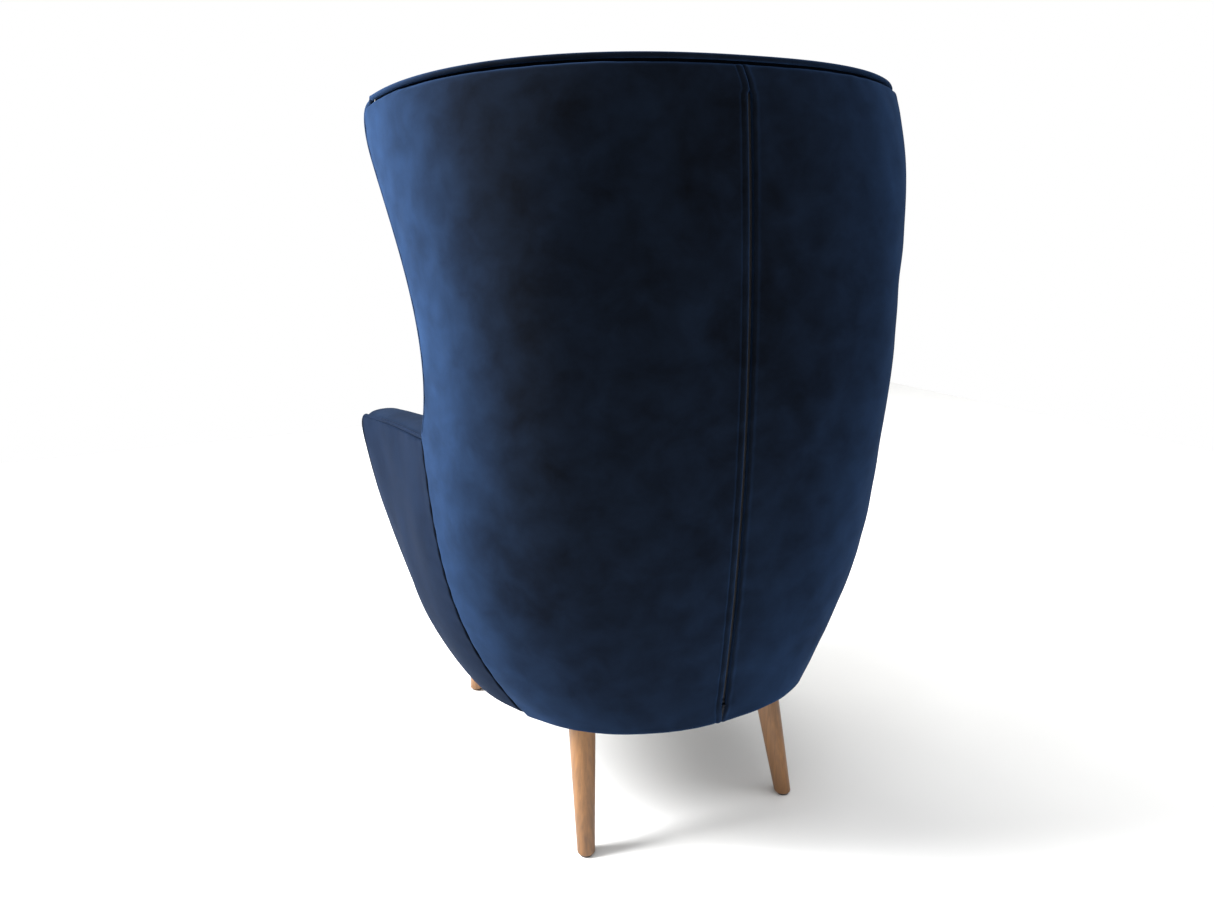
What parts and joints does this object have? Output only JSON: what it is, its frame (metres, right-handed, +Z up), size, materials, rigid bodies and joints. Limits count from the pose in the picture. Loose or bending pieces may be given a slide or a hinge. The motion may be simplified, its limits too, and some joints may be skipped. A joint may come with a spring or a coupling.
{
  "type": "wing armchair",
  "caption": "High-backed wing armchair with an egg-shaped velvet shell, a loose seat cushion and splayed turned wooden legs.",
  "frame": {"origin": "centre of the chair's footprint box, on the floor", "axes": "+Z up, the chair faces -Y, +X is the sitter's left"},
  "size_m": [0.7192, 0.7337, 1.0372],
  "materials": {
    "velvet": "navy polyester velvet, short pile with nap marks",
    "foam": "cut polyurethane foam",
    "wadding": "bonded polyester wadding",
    "felt": "needled felt",
    "black_cloth": "spun-bonded dust cloth",
    "webbing": "woven elastic webbing",
    "leg_wood": "turned beech, clear matt lacquer",
    "frame_timber": "planed beech and plywood, unfinished",
    "zinc_steel": "bright zinc-plated steel",
    "glide_plastic": "moulded nylon",
    "zip_nylon": "dyed nylon zip tape and coil",
    "zip_metal": "black-nickel plated zinc die casting"
  },
  "bodies": {
    "chair": {"front_rail": "frame_timber", "rear_rail": "frame_timber", "side_rail_left": "frame_timber", "side_rail_right": "frame_timber", "corner_blocks": "frame_timber", "seat_springs": "zinc_steel", "spring_clips": "zinc_steel", "seat_deck": "felt", "dust_cover": "black_cloth", "leg_plates": "zinc_steel", "plate_screws": "zinc_steel", "hanger_bolts": "zinc_steel", "rear_leg_left": "leg_wood", "rear_leg_right": "leg_wood", "front_leg_left": "leg_wood", "front_leg_right": "leg_wood", "glides": "glide_plastic", "top_rail": "frame_timber", "lumbar_rail": "frame_timber", "back_foot_rail": "frame_timber", "back_post_left": "frame_timber", "back_post_right": "frame_timber", "wing_former_left": "frame_timber", "wing_former_right": "frame_timber", "arm_rail_left": "frame_timber", "arm_rail_right": "frame_timber", "arm_post_left": "frame_timber", "arm_post_right": "frame_timber", "back_webbing": "webbing", "back_bolts": "zinc_steel", "back_wadding": "wadding", "arm_wadding_left": "wadding", "arm_wadding_right": "wadding", "inner_back_foam": "foam", "wing_foam_left": "foam", "wing_foam_right": "foam", "arm_foam_left": "foam", "arm_foam_right": "foam", "front_border_pad": "foam", "outer_back_left": "velvet", "outer_back_right": "velvet", "outer_arm_left": "velvet", "outer_arm_right": "velvet", "inner_back_cover": "velvet", "inner_wing_left": "velvet", "inner_wing_right": "velvet", "inner_arm_left": "velvet", "inner_arm_right": "velvet", "edge_border": "velvet", "arm_border_left": "velvet", "arm_border_right": "velvet", "front_border_cover": "velvet", "edge_piping": "velvet", "arm_pipings": "velvet", "zip_tapes": "zip_nylon", "zip_coil": "zip_nylon"},
    "cushion": {"cushion_core": "foam", "cushion_cover": "velvet"},
    "zip_slider_body": {"zip_slider": "zip_metal"},
    "zip_pull_tab": {"zip_pull": "zip_metal"}
  },
  "joints": [
    {"name": "cushion_lift", "type": "slide", "parent": "chair", "child": "cushion", "axis": [0, 0, 1], "range_m": [0, 0.2]},
    {"name": "zip_travel", "type": "hinge", "parent": "chair", "child": "zip_slider_body", "pos_m": [0, -2.45376, 0.74318], "axis": [1, 0, 0], "range_deg": [0, 15.1]},
    {"name": "zip_pull_flip", "type": "hinge", "parent": "zip_slider_body", "child": "zip_pull_tab", "pos_m": [0, 0.32275, 0.24032], "axis": [1, 0, 0], "range_deg": [0, 165]}
  ]
}
